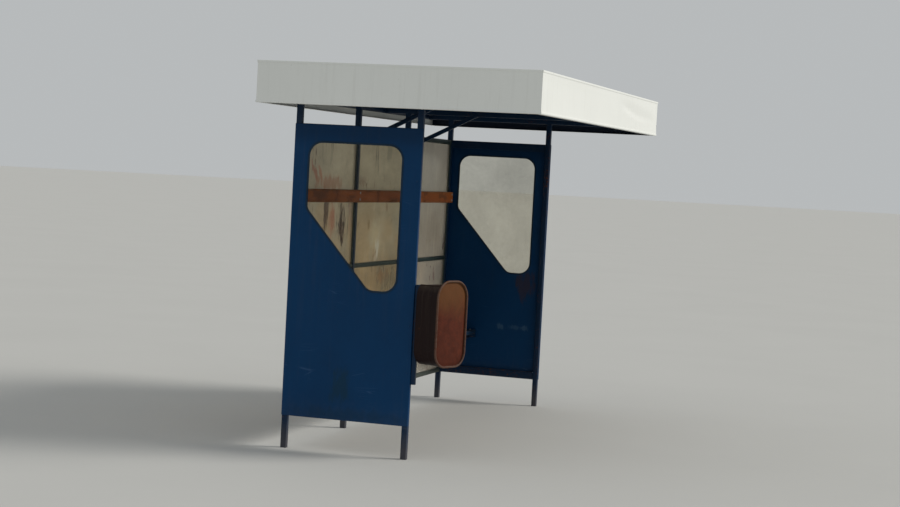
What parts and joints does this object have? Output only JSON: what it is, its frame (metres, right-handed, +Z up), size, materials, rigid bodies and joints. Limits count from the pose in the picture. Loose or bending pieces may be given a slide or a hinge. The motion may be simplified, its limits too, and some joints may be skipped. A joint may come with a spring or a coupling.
{
  "type": "bus shelter",
  "caption": "Open-fronted bus shelter on steel posts with a box-edged flat roof, glazed rear wall, sheet sides with shaped windows, a slatted bench and a hung litter bin.",
  "frame": {"origin": "centre of the roof's plan, at the lowest ground under the post feet", "axes": "+X along the shelter from the near end to the far end, -Y out of the open front, +Z up"},
  "size_m": [3.836, 1.955, 2.585],
  "materials": {
    "frame_paint": "semi-gloss, weathered",
    "panel_paint": "semi-gloss, weathered",
    "fascia_paint": "satin, dusty",
    "ceiling_paint": "satin",
    "rail_paint": "satin, dusty",
    "galvanised": "dull galvanised",
    "cover_sheet": "dull galvanised",
    "side_glass": "hazy",
    "rear_glass": "dusty",
    "seal_rubber": "matt",
    "board_wood": "weathered",
    "bench_wood": "painted, worn",
    "bin_paint": "matt, dirty",
    "bin_rust": "rusty"
  },
  "bodies": {
    "root": {"near_front_post": "frame_paint", "near_back_post": "frame_paint", "near_middle_post": "frame_paint", "far_middle_post": "frame_paint", "far_back_post": "frame_paint", "far_front_post": "frame_paint", "near_rafter": "frame_paint", "near_middle_rafter": "frame_paint", "far_middle_rafter": "frame_paint", "far_rafter": "frame_paint", "front_edge_beam": "frame_paint", "rear_edge_beam": "frame_paint", "near_knee_brace": "frame_paint", "far_knee_brace": "frame_paint", "ceiling": "ceiling_paint", "roof_purlins": "galvanised", "roof_cover": "cover_sheet", "rear_gutter": "galvanised", "front_fascia": "fascia_paint", "rear_fascia": "fascia_paint", "near_fascia": "fascia_paint", "far_fascia": "fascia_paint", "near_side_panel": "panel_paint", "far_side_panel": "panel_paint", "near_side_window": "side_glass", "far_side_window": "side_glass", "near_window_seal": "seal_rubber", "far_window_seal": "seal_rubber", "near_top_rail": "frame_paint", "near_bottom_rail": "frame_paint", "far_top_rail": "frame_paint", "far_bottom_rail": "frame_paint", "rear_top_rails": "rail_paint", "rear_middle_rails": "rail_paint", "rear_bottom_rails": "rail_paint", "rear_lower_panes": "rear_glass", "rear_upper_panes": "rear_glass", "rear_glazing_beads": "rail_paint", "shoulder_board": "board_wood", "bench_seat": "bench_wood", "bench_backrest": "bench_wood", "bench_brackets": "frame_paint", "bin_body": "bin_paint", "bin_front": "bin_rust", "bin_bracket": "frame_paint"}
  },
  "joints": []
}
